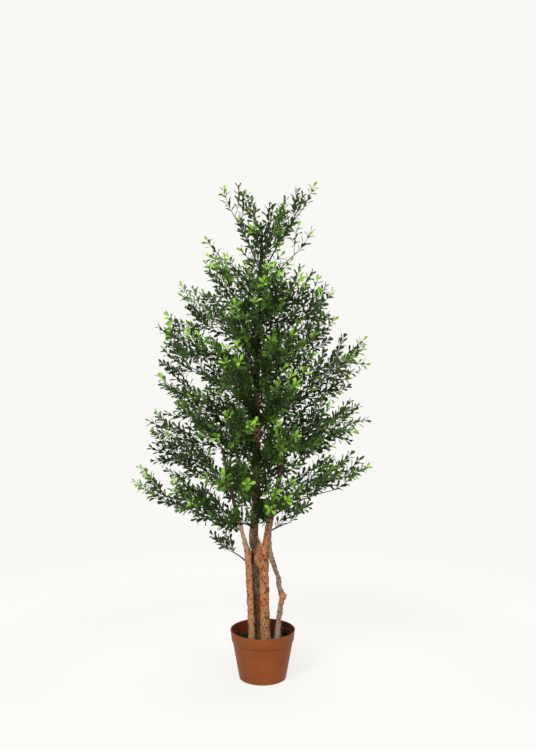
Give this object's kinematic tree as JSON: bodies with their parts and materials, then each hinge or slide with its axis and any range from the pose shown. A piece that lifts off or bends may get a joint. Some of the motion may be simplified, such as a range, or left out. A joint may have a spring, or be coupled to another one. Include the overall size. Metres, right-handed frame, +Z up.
{
  "type": "artificial boxwood tree",
  "caption": "Artificial boxwood tree: slender natural wood poles in a round plastic nursery pot carry a tall, loose crown of small-leaved evergreen sprays.",
  "frame": {"origin": "middle of the pot's flat underside, on the floor", "axes": "+Z up along the poles, -Y towards the front, +X to the right as seen from the front"},
  "size_m": [0.6962, 0.5861, 1.4857],
  "materials": {
    "pot_plastic": "satin",
    "fill": "matte",
    "bark_warm": "matte",
    "bark_olive": "matte",
    "bark_grey": "matte",
    "leaf_deep": "satin",
    "leaf_mid": "satin",
    "leaf_fresh": "satin"
  },
  "bodies": {
    "root": {"pot": "pot_plastic", "pot_fill": "fill", "pole_left": "bark_warm", "pole_centre": "bark_olive", "pole_right": "bark_warm", "pole_crooked_foot": "bark_grey", "pole_crooked": "bark_grey", "spray_tier_1_left": "leaf_deep", "spray_tier_1_right": "leaf_mid", "spray_tier_1_front": "leaf_fresh", "spray_tier_1_back": "leaf_deep", "spray_tier_2_left": "leaf_mid", "spray_tier_2_right": "leaf_fresh", "spray_tier_2_front": "leaf_deep", "spray_tier_2_back": "leaf_mid", "spray_tier_3_left": "leaf_fresh", "spray_tier_3_right": "leaf_deep", "spray_tier_3_front": "leaf_mid", "spray_tier_3_back": "leaf_fresh", "spray_tier_4_left": "leaf_deep", "spray_tier_4_right": "leaf_mid", "spray_tier_4_front": "leaf_fresh", "spray_tier_4_back": "leaf_deep", "spray_tier_5_left": "leaf_mid", "spray_tier_5_right": "leaf_fresh", "spray_tier_5_front": "leaf_deep", "spray_tier_5_back": "leaf_mid", "spray_tier_6_left": "leaf_fresh", "spray_tier_6_right": "leaf_deep", "spray_tier_6_front": "leaf_mid", "spray_tier_6_back": "leaf_fresh", "spray_tier_7_left": "leaf_deep", "spray_tier_7_right": "leaf_mid", "spray_tier_7_front": "leaf_fresh", "spray_tier_7_back": "leaf_deep", "spray_tier_8_left": "leaf_mid", "spray_tier_8_right": "leaf_fresh", "spray_tier_8_front": "leaf_deep", "spray_tier_8_back": "leaf_mid", "spray_tier_9_left": "leaf_fresh", "spray_tier_9_right": "leaf_deep", "spray_tier_9_front": "leaf_mid", "spray_tier_9_back": "leaf_fresh", "spray_tier_10_left": "leaf_deep", "spray_tier_10_right": "leaf_mid", "spray_tier_10_front": "leaf_fresh", "spray_tier_10_back": "leaf_deep", "spray_tier_11_left": "leaf_mid", "spray_tier_11_right": "leaf_fresh", "spray_low_left": "leaf_deep", "spray_low_right": "leaf_mid", "spray_left_pole_tip": "leaf_fresh", "spray_right_pole_tip": "leaf_deep", "spray_crooked_pole_tip": "leaf_mid", "spray_leader_far_left": "leaf_fresh", "spray_leader_left": "leaf_deep", "spray_leader_right": "leaf_mid", "spray_leader_far_right": "leaf_fresh"}
  },
  "joints": []
}
